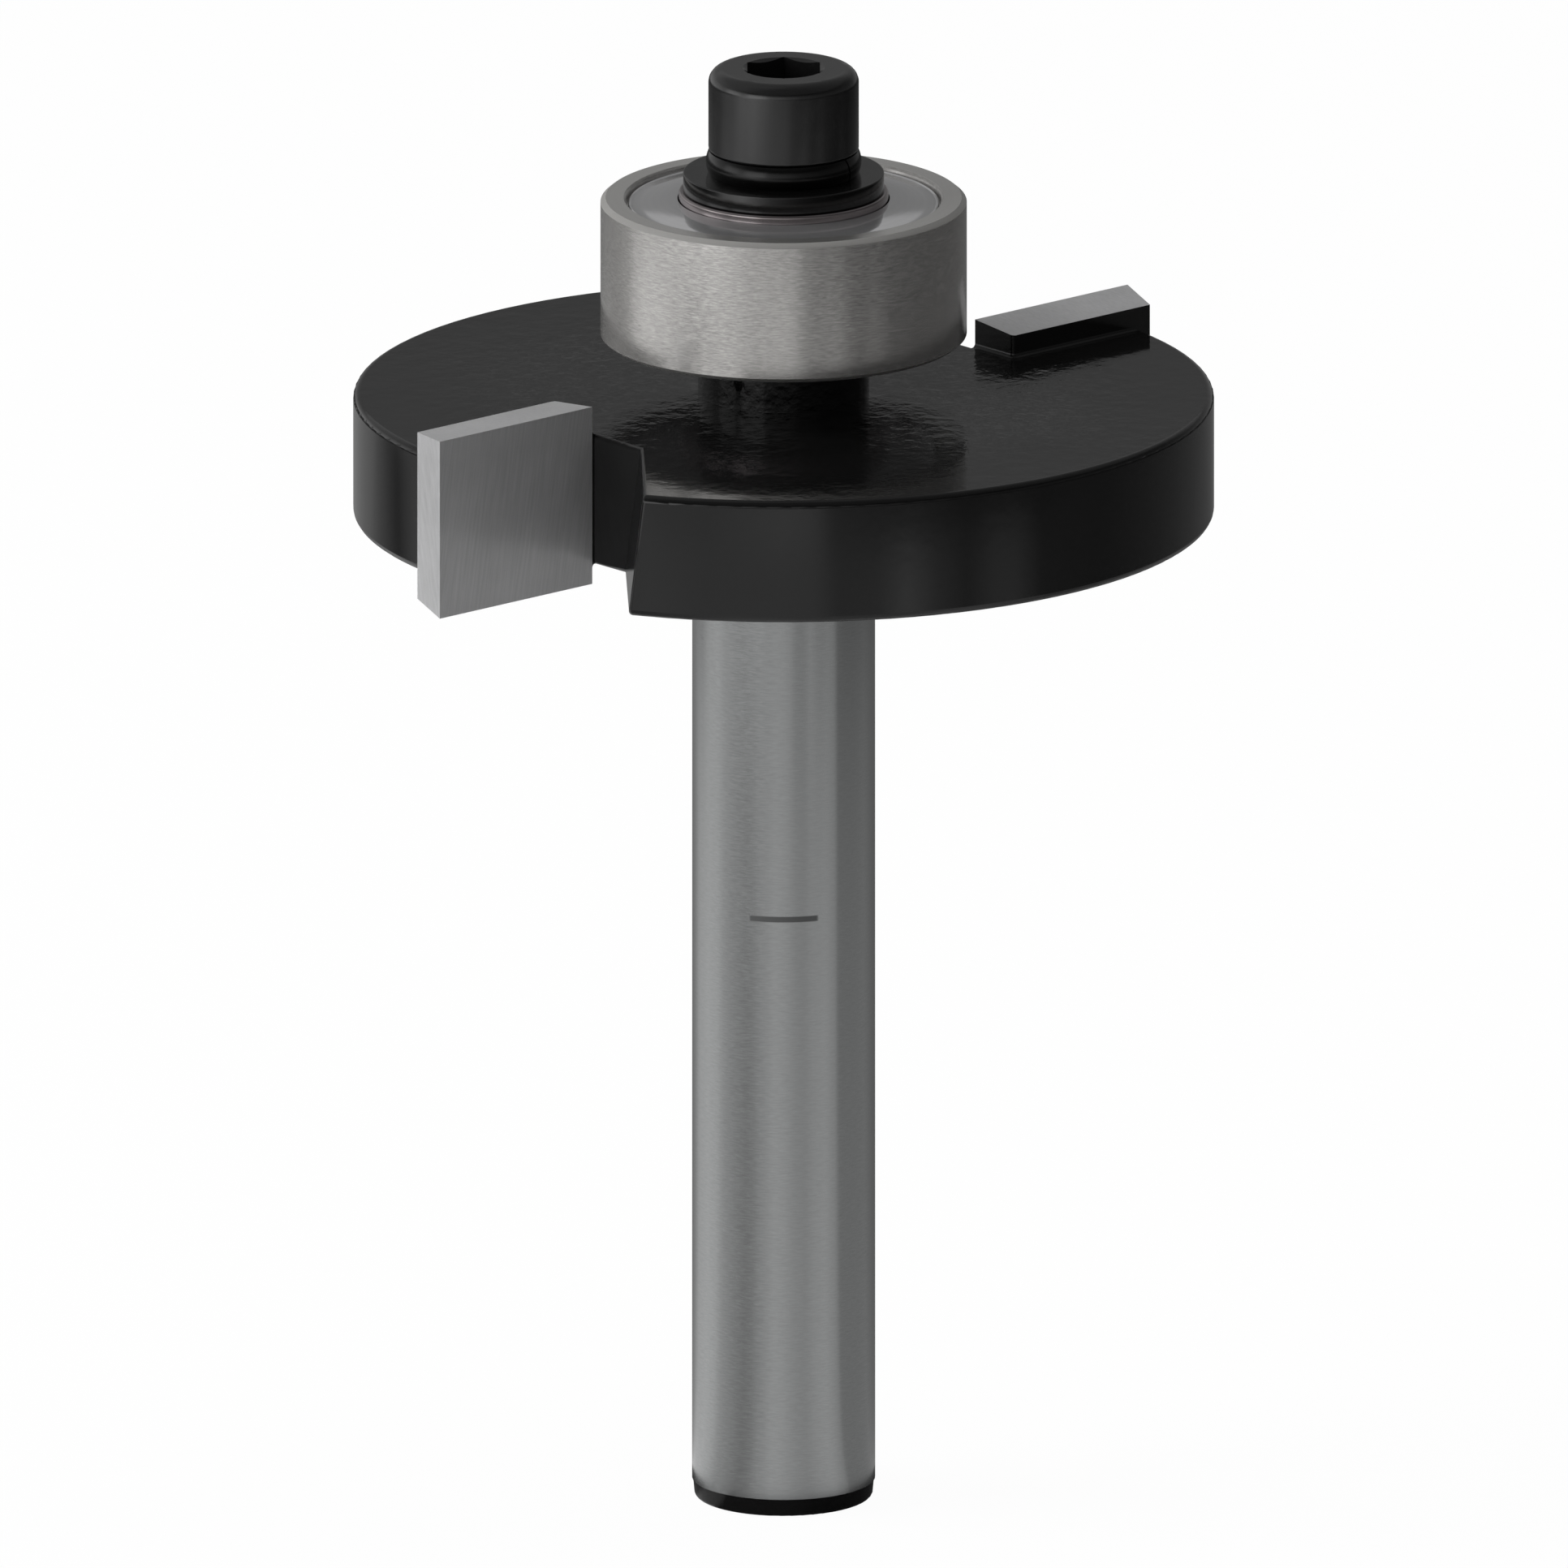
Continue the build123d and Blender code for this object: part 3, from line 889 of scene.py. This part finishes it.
@dataclass
class GuideBearing:
    """The shielded ball bearing that guides the bit along the work, in millimetres."""

    middle: float = 44.04
    half_width: float = 2.5
    outer_radius: float = 6.35
    chamfer: Point = (0.18, 0.15)
    chamfer_zone: float = 0.3
    chamfer_above: float = 0.12
    level_above: float = 0.92
    edge_rounding: float = 0.03
    land_radius: float = 5.10
    seat_radius: float = 5.44
    mouth_radius: float = 5.47
    mouth_chamfer: float = 0.08
    shield_depth: float = 0.19
    shield_thickness: float = 0.15
    inner_half_width: float = 2.77
    inner_radius: float = 3.637
    bore_radius: float = 2.381
    bore_chamfer: float = 0.12
    inner_rounding: float = 0.10
    inner_rounding_steps: int = 6
    pitch_radius: float = 4.3655
    groove_radius: float = 1.238
    groove_steps: int = 16
    outer_groove_at: float = 4.330
    inner_groove_at: float = 4.401
    shield_rim: float = 5.395
    shield_flat: float = 5.085
    shield_hole: float = 3.67
    shield_dish: float = 0.17
    shield_roll: tuple[Point, ...] = ((0.0, -0.03), (0.012, -0.006), (0.035, -0.003))
    shield_bend: tuple[Point, ...] = ((-0.10, 0.012), (0.0, 0.003), (0.10, 0.0))
    shield_bead: tuple[Point, ...] = (
        (-0.11, 0.0), (-0.085, 0.020), (-0.055, 0.028), (-0.025, 0.014), (0.0, -0.03),
    )
    rivet_radius: float = 0.18
    rivet_head: Point = (0.28, 0.09)
    rivet_dome: tuple[Point, ...] = ((1.0, 0.0), (0.93, 0.62), (0.55, 1.0), (0.0, 1.0))
    rivet_segments: int = 20
    cage_thickness: float = 0.20
    balls: int = 7
    ring_steel: GroundSteel = GroundSteel(
        "ground_ring",
        (0.50, 0.49, 0.475),
        0.17,
        streak_contrast=0.26,
        streaks_round=3.4,
        streaks_along=24.0,
        relief_mm=0.00012,
        spread_turn=0.0,
        metallic=0.82,
    )
    # Painted light: the ring's level faces get this much lighter copy of its steel, so that they
    # read as lit.
    painted_lit_face_steel: RolledSteel = RolledSteel(
        "ring_face_painted_light", (0.85, 0.84, 0.815), 0.22, metallic=0.92
    )
    edge_steel: RolledSteel = RolledSteel(
        "ground_ring_edge", (0.31, 0.305, 0.295), 0.42, metallic=0.35
    )
    race_steel: RolledSteel = RolledSteel(
        "polished_race", (0.45, 0.42, 0.42), 0.17, (0.225, 0.19, 0.20)
    )
    plate: RolledSteel = RolledSteel("bright_shield", (0.90, 0.90, 0.91), 0.09, metallic=0.90)
    cage_steel: RolledSteel = RolledSteel("pressed_cage", (0.55, 0.54, 0.52), 0.28)
    ball_steel: RolledSteel = RolledSteel("ball_steel", (0.72, 0.72, 0.73), 0.08, haze=0.02)

    def build(self) -> None:
        """Build and dress every piece of the bearing."""
        outer = turned(self._outer_outline(), "guide_ring_turned")
        steels = (self.ring_steel.make(), self.painted_lit_face_steel.make(), self.edge_steel.make())
        stand_for(outer, "bearing_outer_ring", "guide_ring", "outer_ring", *steels)
        for face in outer.data.polygons:
            face.material_index = self._ring_side(face).value
        inner = turned(self._inner_outline(), "inner_race_turned")
        race_steel = self.race_steel.make()
        stand_for(inner, "bearing_inner_ring", "cutter", "inner_ring", race_steel)
        plate = self.plate.make()
        for side, word in ((1, "upper"), (-1, "lower")):
            shield = turned(self._shield_outline(side), f"shield_{word}_pressed")
            stand_for(shield, f"bearing_shield_{word}", "guide_ring", "shield", plate)
        self._dress_inside()
        self._rivets()

    def _outer_outline(self) -> list[Point]:
        """Outline of the outer ring.

        Returns:
            Its points, in the shared frame.
        """
        half = self.half_width
        seat = half - self.shield_depth - self.shield_thickness
        out = self.outer_radius
        upper = [
            (self.land_radius, seat),
            (self.seat_radius, seat),
            (self.mouth_radius, half - self.mouth_chamfer),
            (self.mouth_radius + self.mouth_chamfer, half),
            (out - self.chamfer[0], half),
            (out, half - self.chamfer[1]),
        ]
        outline = eased(upper + mirrored(upper), self.edge_rounding)
        groove = self._groove(self.outer_groove_at, self.land_radius, 1)
        return self._raised(outline + groove)

    def _ring_side(self, face: bpy.types.MeshPolygon) -> RingFace:
        """Tell the kind of a face of the outer ring.

        Args:
            face: The face.

        Returns:
            Its kind.
        """
        steep = abs(face.normal.z)
        # Level faces take the lighter copy of the steel, which is painted light.
        if steep > self.level_above:
            return RingFace.LEVEL
        outside = face.center.xy.length > (self.outer_radius - self.chamfer_zone) * MM
        return RingFace.CHAMFER if outside and steep > self.chamfer_above else RingFace.ROUND

    def _inner_outline(self) -> list[Point]:
        """Outline of the extended inner ring.

        Returns:
            Its points, in the shared frame.
        """
        half = self.inner_half_width
        rounding = self.inner_rounding
        centre = (self.inner_radius - rounding, half - rounding)
        upper = arc(centre, rounding, 0, 90, self.inner_rounding_steps)
        upper.append((self.bore_radius + self.bore_chamfer, half))
        upper.append((self.bore_radius, half - self.bore_chamfer))
        groove = self._groove(self.inner_groove_at, self.inner_radius, -1)
        return self._raised(groove + upper + mirrored(upper))

    def _groove(self, at: float, land: float, side: int) -> list[Point]:
        """The ball groove's section, from below to above.

        Args:
            at: Radius of the groove's centre.
            land: Radius of the surface that it is cut in.
            side: 1 for a groove that opens inwards and -1 for one that opens outwards.

        Returns:
            Its points.
        """
        spread = math.degrees(math.acos(side * (land - at) / self.groove_radius))
        start, end = (-spread, spread) if side > 0 else (180 + spread, 180 - spread)
        return arc((at, 0.0), self.groove_radius, start, end, self.groove_steps)

    def _shield_outline(self, side: int) -> list[Point]:
        """Outline of a shield.

        Args:
            side: 1 for the side of the screw and -1 for the side of the disc.

        Returns:
            Its points, in the shared frame.
        """
        face = self.half_width - self.shield_depth
        back = face - self.shield_thickness
        lip = face + self.shield_dish
        hole, flat, rim = self.shield_hole, self.shield_flat, self.shield_rim
        outline = [(hole + out, lip + up) for out, up in self.shield_roll]
        outline += [(flat + out, face + up) for out, up in self.shield_bend]
        outline += [(rim + out, face + up) for out, up in self.shield_bead]
        outline += [(rim, back), (flat, back), (hole, back + self.shield_dish)]
        return self._raised([(radius, side * height) for radius, height in outline])

    def _raised(self, outline: list[Point]) -> list[Point]:
        """An outline moved up to the bearing's middle."""
        return [(radius, height + self.middle) for radius, height in outline]

    def _dress_inside(self) -> None:
        """Dress the cage halves and the balls, which stay as the CAD made them."""
        cage = self.cage_steel.make()
        ball = self.ball_steel.make()
        for node in ("ball_cage_upper", "ball_cage_lower"):
            dress(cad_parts[node], cage)
            LOG.info("%s dressed", node)
        for index in range(self.balls):
            dress(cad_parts[f"bearing_ball_{index + 1}"], ball)
            LOG.info("bearing_ball_%d dressed", index + 1)

    def _rivets(self) -> None:
        """Set the ring of cage rivets with Geometry Nodes."""
        head_radius, head_height = self.rivet_head
        top = self.cage_thickness
        dome = [(out * head_radius, top + up * head_height) for out, up in self.rivet_dome]
        half = [(self.rivet_radius, top), *dome]
        rivet = turned(mirrored(half) + half, "rivet_pattern", self.rivet_segments)
        steel = self.cage_steel.make()
        ring = RivetRing(self.balls, self.pitch_radius * MM, self.middle * MM)
        piece = ring.build(rivet, steel)
        stand_for(piece, "cage_rivets", "ball_cage", "rivets")


@dataclass
class RivetRing:
    """A Geometry Nodes tree that sets one rivet between each two balls."""

    count: int
    pitch_radius: float
    height: float

    def build(self, rivet: bpy.types.Object, steel: bpy.types.Material) -> bpy.types.Object:
        """Set the rivets and turn them into a plain mesh.

        Args:
            rivet: One rivet about the axis, which is removed afterwards.
            steel: The rivets' material.

        Returns:
            The ring of rivets as one piece.
        """
        tree = self._tree()
        host = put_in_scene("rivet_host", bpy.data.meshes.new("rivet_host"))
        setting = host.modifiers.new("rivet_ring", "NODES")
        setting.node_group = tree
        values = {
            "Rivet": rivet,
            "Count": self.count,
            "Pitch Radius": self.pitch_radius,
            "Height": self.height,
            "Material": steel,
        }
        for item in tree.interface.items_tree:
            if item.item_type == "SOCKET" and item.in_out == "INPUT" and item.name in values:
                setting[item.identifier] = values[item.name]
        bpy.context.view_layer.update()
        graph = bpy.context.evaluated_depsgraph_get()
        mesh = bpy.data.meshes.new_from_object(host.evaluated_get(graph))
        mesh.name = "cage_rivet_ring"
        host.modifiers.remove(setting)
        bpy.data.objects.remove(host)
        bpy.data.objects.remove(rivet)
        return finish_mesh(mesh, "cage_rivet_ring")

    def _tree(self) -> bpy.types.NodeTree:
        """Build the tree.

        Returns:
            A tree that sets instances round a circle, realised and dressed.
        """
        tree = bpy.data.node_groups.new("rivet_ring", "GeometryNodeTree")
        net = Net(tree)
        sockets = (
            ("Rivet", "NodeSocketObject"),
            ("Count", "NodeSocketInt"),
            ("Pitch Radius", "NodeSocketFloat"),
            ("Height", "NodeSocketFloat"),
            ("Material", "NodeSocketMaterial"),
        )
        for name, kind in sockets:
            tree.interface.new_socket(name=name, in_out="INPUT", socket_type=kind)
        tree.interface.new_socket(name="Pieces", in_out="OUTPUT", socket_type="NodeSocketGeometry")
        given = net.node("NodeGroupInput")
        circle = net.node(
            "GeometryNodeMeshCircle",
            None,
            {"Vertices": net.wire(given, "Count"), "Radius": net.wire(given, "Pitch Radius")},
        )
        one = net.node("GeometryNodeObjectInfo", None, {"Object": net.wire(given, "Rivet")})
        spots = net.node(
            "GeometryNodeInstanceOnPoints",
            None,
            {"Points": net.wire(circle), "Instance": net.wire(one, "Geometry")},
        )
        lift = net.node("ShaderNodeCombineXYZ", None, {"Z": net.wire(given, "Height")})
        moved = net.node(
            "GeometryNodeTransform",
            None,
            {
                "Geometry": net.wire(spots),
                "Translation": net.wire(lift),
                "Rotation": (0.0, 0.0, math.pi / self.count),
            },
        )
        real = net.node("GeometryNodeRealizeInstances", None, {"Geometry": net.wire(moved)})
        coated = net.node(
            "GeometryNodeSetMaterial",
            None,
            {"Geometry": net.wire(real), "Material": net.wire(given, "Material")},
        )
        net.node("NodeGroupOutput", None, {0: net.wire(coated)})
        return tree


@dataclass
class ScrewStack:
    """The flat washer, the split washer and the socket cap screw that hold the bearing."""

    washer_low: float = 46.81
    washer_thickness: float = 0.64
    washer_radius: float = 3.485
    washer_hole: float = 1.60
    washer_rounding: float = 0.045
    washer_rounding_steps: int = 4
    oxide: BlackOxide = BlackOxide("black_oxide_screw")
    washer_oxide: BlackOxide = BlackOxide(
        "black_oxide_washer", (0.0026, 0.0026, 0.0026), 0.12, ior=1.55
    )
    # Painted shade: the split washer under the head gets a darker, less reflective copy of the
    # screw's oxide.
    split_oxide_painted_shade: BlackOxide = BlackOxide(
        "split_washer_oxide_painted_shade", (0.0022, 0.0022, 0.0022), 0.20, ior=1.40
    )

    def build(self) -> None:
        """Build the three pieces."""
        washer = turned(self._washer_outline(), "plain_washer_turned")
        split = smooth_copy("spring_washer", "split_washer_black")
        screw = smooth_copy("cap_screw", "socket_screw_black")
        stack = (
            (washer, "flat_washer", self.washer_oxide),
            (split, "spring_washer", self.split_oxide_painted_shade),
            (screw, "cap_screw", self.oxide),
        )
        for piece, node, finish in stack:
            stand_for(piece, node, "cutter", node, finish.make())

    def _washer_outline(self) -> list[Point]:
        """Outline of the plain washer.

        Returns:
            Its points.
        """
        low = self.washer_low
        high = low + self.washer_thickness
        corners = [
            (self.washer_hole, low),
            (self.washer_radius, low),
            (self.washer_radius, high),
            (self.washer_hole, high),
        ]
        return eased(corners, self.washer_rounding, self.washer_rounding_steps)


CARD_GREYS: dict[str, Stops] = {
    # A mostly dark ring round the shank's foot that only reflections see: a painted contact
    # shadow.
    "foot_card": (
        (-180, 0.04), (-120, 0.04), (-104, 0.09), (-92, 0.10), (-82, 0.34), (-66, 0.42),
        (-56, 0.36), (-49, 0.05), (0, 0.09), (30, 0.04), (180, 0.04),
    ),
    "near_card": (
        (-180, 0.16), (-160, 0.22), (-144, 0.42), (-130, 0.80), (-108, 0.99), (-92, 0.92),
        (-78, 0.66), (-64, 0.54), (-48, 0.38), (-38, 0.42), (-30, 0.56), (-12, 0.80),
        (0, 0.76), (14, 0.64), (26, 0.60), (38, 0.70), (52, 0.76), (69, 0.58), (72, 0.40),
        (120, 0.38), (144, 0.22), (164, 0.12), (180, 0.16),
    ),
    "rim_card": (
        (-180, 0.18), (-160, 0.30), (-140, 0.36), (-122, 0.10), (-108, 0.60), (-90, 0.90),
        (-66, 0.65), (-50, 0.60), (-34, 0.80), (-20, 0.70), (0, 0.72), (8, 0.70), (14, 0.46),
        (24, 0.50), (32, 0.85), (40, 0.45), (48, 0.25), (56, 0.45), (62, 0.45), (70, 0.16),
        (90, 0.10), (130, 0.13), (160, 0.12), (180, 0.18),
    ),
    "ring_card": (
        (-180, 0.16), (-144, 0.18), (-128, 0.26), (-113, 0.42), (-104, 0.95), (-94, 1.15),
        (-82, 1.00), (-70, 0.50), (-56, 0.20), (-34, 0.64), (-20, 0.64), (0, 0.96), (7, 0.85),
        (13, 0.35), (32, 0.18), (48, 0.11), (64, 0.08), (80, 0.11), (96, 0.08), (128, 0.08),
        (160, 0.12), (180, 0.16),
    ),
    "head_card": (
        (-180, 0.03), (-144, 0.07), (-112, 0.06), (-98, 0.05), (-84, 0.18), (-70, 1.15),
        (-48, 1.60), (-32, 0.90), (-14, 0.38), (0, 0.20), (16, 0.11), (40, 0.05), (64, 0.02),
        (120, 0.02), (150, 0.05), (180, 0.03),
    ),
    "wall_card": (
        (-180, 0.17), (-166, 0.20), (-150, 0.42), (-124, 0.62), (-100, 0.50), (-92, 1.30),
        (-72, 1.30), (-65, 0.60), (-56, 1.60), (-30, 1.70), (-24, 0.70), (0, 0.55),
        (24, 0.24), (60, 0.12), (120, 0.09), (150, 0.17), (170, 0.20), (180, 0.17),
    ),
    "upper_card": (
        (-180, 0.30), (-150, 0.34), (-120, 0.38), (-90, 0.26), (-60, 0.06), (0, 0.03),
        (60, 0.03), (130, 0.08), (160, 0.22), (180, 0.30),
    ),
    "roof_card": (
        (-180, 0.20), (-130, 0.28), (-90, 0.30), (-40, 0.12), (40, 0.10), (180, 0.20),
    ),
}


@dataclass(frozen=True)
class ReflectorCard:
    """A ring of grey card that only reflections see, with its greys set by direction.

    The directions are degrees about the axis from the front of the bit.
    """

    name: str
    inner: Point
    outer: Point
    greys: Stops
    fade: float = 0.0
    fade_about: float = 0.16
    fade_floor: float = 0.12
    segments: int = 144

    def build(self) -> None:
        """Make the card and mark it as stage."""
        shape = bmesh.new()
        inner = round_of_points(shape, *self.inner, self.segments)
        outer = round_of_points(shape, *self.outer, self.segments)
        for step in range(self.segments):
            along = (step + 1) % self.segments
            shape.faces.new([inner[step], outer[step], outer[along], inner[along]])
        mesh = mesh_from(shape, self.name)
        mesh.materials.append(self._card())
        card = put_in_scene(self.name, mesh)
        for ray in ("camera", "diffuse", "transmission", "volume_scatter", "shadow"):
            setattr(card, f"visible_{ray}", False)

    def _card(self) -> bpy.types.Material:
        """The card's glow.

        Returns:
            A material whose grey follows the direction.
        """
        material, net = new_net(self.name)
        x, y, z = net.parts(net.millimetres())
        ahead, across = front_axes(x, y)
        share = across.angle_from(ahead) / (2 * math.pi) + 0.5
        stops = tuple((0.5 + degrees / 360, level) for degrees, level in self.greys)
        level = net.graded(share, stops)
        if self.fade:
            rise = z * (MM / self.fade_about) - 1.0
            level = level * (1.0 - rise * self.fade).clamped(self.fade_floor, 1.0 + self.fade)
        glow = net.node("ShaderNodeEmission", None, {"Strength": level})
        net.node("ShaderNodeOutputMaterial", None, {"Surface": net.wire(glow)})
        return material


@dataclass(frozen=True)
class SoftLamp:
    """A square soft lamp aimed at the bearing."""

    name: str
    azimuth_deg: float
    elevation_deg: float
    distance: float
    width: float
    power: float
    aim_height: float = 0.04

    def build(self) -> None:
        """Hang the lamp."""
        light = bpy.data.lights.new(self.name, "AREA")
        light.shape = "SQUARE"
        light.size = self.width
        light.energy = self.power
        lamp = put_in_scene(self.name, light)
        aim = Vector((0, 0, self.aim_height))
        away = direction(self.azimuth_deg, self.elevation_deg)
        lamp.location = aim + away * self.distance
        lamp.rotation_euler = away.to_track_quat("Z", "Y").to_euler()
        lamp.visible_glossy = False


def direction(azimuth_deg: float, elevation_deg: float) -> Vector:
    """Turn two angles into a unit vector.

    Args:
        azimuth_deg: The angle round from +X.
        elevation_deg: The angle above the floor.

    Returns:
        The vector.
    """
    azimuth = math.radians(azimuth_deg)
    elevation = math.radians(elevation_deg)
    flat = math.cos(elevation)
    return Vector((flat * math.cos(azimuth), flat * math.sin(azimuth), math.sin(elevation)))


@dataclass
class Studio:
    """White floor and background, soft lamps, reflector cards and the camera.

    The floor's cards meet at the radii that part what the foot, the shank, the disc's rim, the
    bearing and the screw mirror. Sizes are in metres.
    """

    camera_azimuth: float = FRONT_DEG
    camera_elevation: float = 15.0
    camera_distance: float = 0.4
    camera_sees: tuple[float, float] = (0.01, 10.0)
    view_width: float = 0.054346
    aim_height: float = 0.02548
    shift_pixels: float = 0.44
    floor_level: float = -0.00006
    floor_reach: float = 3.0
    floor_colour: Colour = (0.8, 0.8, 0.8)
    floor_white: float = 0.97
    world_light: float = 0.26
    card_lift: float = 0.00002
    axis_gap: float = 0.0001
    floor_borders: tuple[float, ...] = (0.0056, 0.121, 0.161, 0.182)
    wall_distance: float = 0.60
    wall_break: float = 0.24
    wall_fade: float = 0.4
    roof_height: float = 0.42
    lamps: tuple[SoftLamp, ...] = field(
        default_factory=lambda: (
            SoftLamp("key_lamp", -35.0, 28.0, 0.45, 0.34, 2.4),
            SoftLamp("top_lamp", 180.0, 76.0, 0.5, 0.45, 0.9),
        )
    )

    def build(self) -> None:
        """Set up the whole studio."""
        scene = bpy.context.scene
        scene.view_settings.view_transform = "Standard"
        self._world(scene)
        self._floor()
        for card in self._cards():
            card.build()
        for lamp in self.lamps:
            lamp.build()
        self._camera(scene)
        LOG.info("studio ready, with %d lamps", len(self.lamps))

    def _cards(self) -> list[ReflectorCard]:
        """Lay out the reflector cards, from the axis outwards, up the wall and back.

        Returns:
            The cards.
        """
        level = self.floor_level + self.card_lift
        radii = (self.axis_gap, *self.floor_borders, self.wall_distance)
        borders = [(radius, level) for radius in radii]
        borders.append((self.wall_distance, self.wall_break))
        borders.append((self.wall_distance, self.roof_height))
        borders.append((self.axis_gap, self.roof_height))
        cards = []
        for (name, stops), inner, outer in zip(CARD_GREYS.items(), borders, borders[1:]):
            fade = self.wall_fade if name == "wall_card" else 0.0
            cards.append(ReflectorCard(name, inner, outer, stops, fade))
        return cards

    def _background_share(self, net: Net) -> Wire:
        """Find the rays that should meet the plain white background.

        Args:
            net: The net to add nodes to.

        Returns:
            One for those rays.
        """
        path = net.node("ShaderNodeLightPath")
        seen = net.wire(path, "Is Camera Ray") + net.wire(path, "Is Glossy Ray")
        return (seen + net.wire(path, "Is Transmission Ray")).clamped()

    def _world(self, scene: bpy.types.Scene) -> None:
        """Light the scene evenly, with white where the camera looks past the object.

        Args:
            scene: The scene.
        """
        world = bpy.data.worlds.new("studio_world")
        scene.world = world
        world.use_nodes = True
        net = Net(world.node_tree)
        share = self._background_share(net)
        strength = self.world_light + share * (1 - self.world_light)
        inputs = {"Color": (1, 1, 1, 1), "Strength": strength}
        light = net.node("ShaderNodeBackground", None, inputs)
        net.node("ShaderNodeOutputWorld", None, {"Surface": net.wire(light)})

    def _floor(self) -> None:
        """Lay a white floor that keeps a faint contact shadow."""
        reach = self.floor_reach
        corners = [(-reach, -reach), (reach, -reach), (reach, reach), (-reach, reach)]
        mesh = bpy.data.meshes.new("studio_floor")
        mesh.from_pydata([(x, y, self.floor_level) for x, y in corners], [], [(0, 1, 2, 3)])
        material, net = new_net("white_floor")
        matt = net.node("ShaderNodeBsdfDiffuse", None, {"Color": (*self.floor_colour, 1.0)})
        white = net.node("ShaderNodeEmission", None, {"Strength": 1.0})
        share = self._background_share(net) * self.floor_white
        inputs = {0: share, 1: net.wire(matt), 2: net.wire(white)}
        mixed = net.node("ShaderNodeMixShader", None, inputs)
        net.node("ShaderNodeOutputMaterial", None, {"Surface": net.wire(mixed)})
        mesh.materials.append(material)
        put_in_scene("studio_floor", mesh)

    def _camera(self, scene: bpy.types.Scene) -> None:
        """Set the camera at the photograph's angle and scale.

        Args:
            scene: The scene.
        """
        data = bpy.data.cameras.new("camera")
        data.type = "ORTHO"
        data.ortho_scale = self.view_width
        data.shift_x = self.shift_pixels / PHOTO_WIDTH
        data.clip_start, data.clip_end = self.camera_sees
        camera = put_in_scene("camera", data)
        towards = direction(self.camera_azimuth, self.camera_elevation)
        camera.location = Vector((0, 0, self.aim_height)) + towards * self.camera_distance
        camera.rotation_euler = towards.to_track_quat("Z", "Y").to_euler()
        scene.camera = camera


def main() -> None:
    """Build the studio and every piece of the router bit in order."""
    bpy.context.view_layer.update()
    Studio().build()
    CutterBody().build()
    CarbideWings().build()
    GuideBearing().build()
    ScrewStack().build()


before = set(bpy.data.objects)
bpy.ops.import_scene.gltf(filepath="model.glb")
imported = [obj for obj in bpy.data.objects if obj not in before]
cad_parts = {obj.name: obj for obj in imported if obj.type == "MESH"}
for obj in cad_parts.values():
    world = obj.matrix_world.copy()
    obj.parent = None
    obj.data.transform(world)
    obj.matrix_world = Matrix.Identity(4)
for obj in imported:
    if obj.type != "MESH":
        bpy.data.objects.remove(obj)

if __name__ == "__main__":
    logging.basicConfig(level=logging.INFO, format="%(name)s %(message)s")
    main()
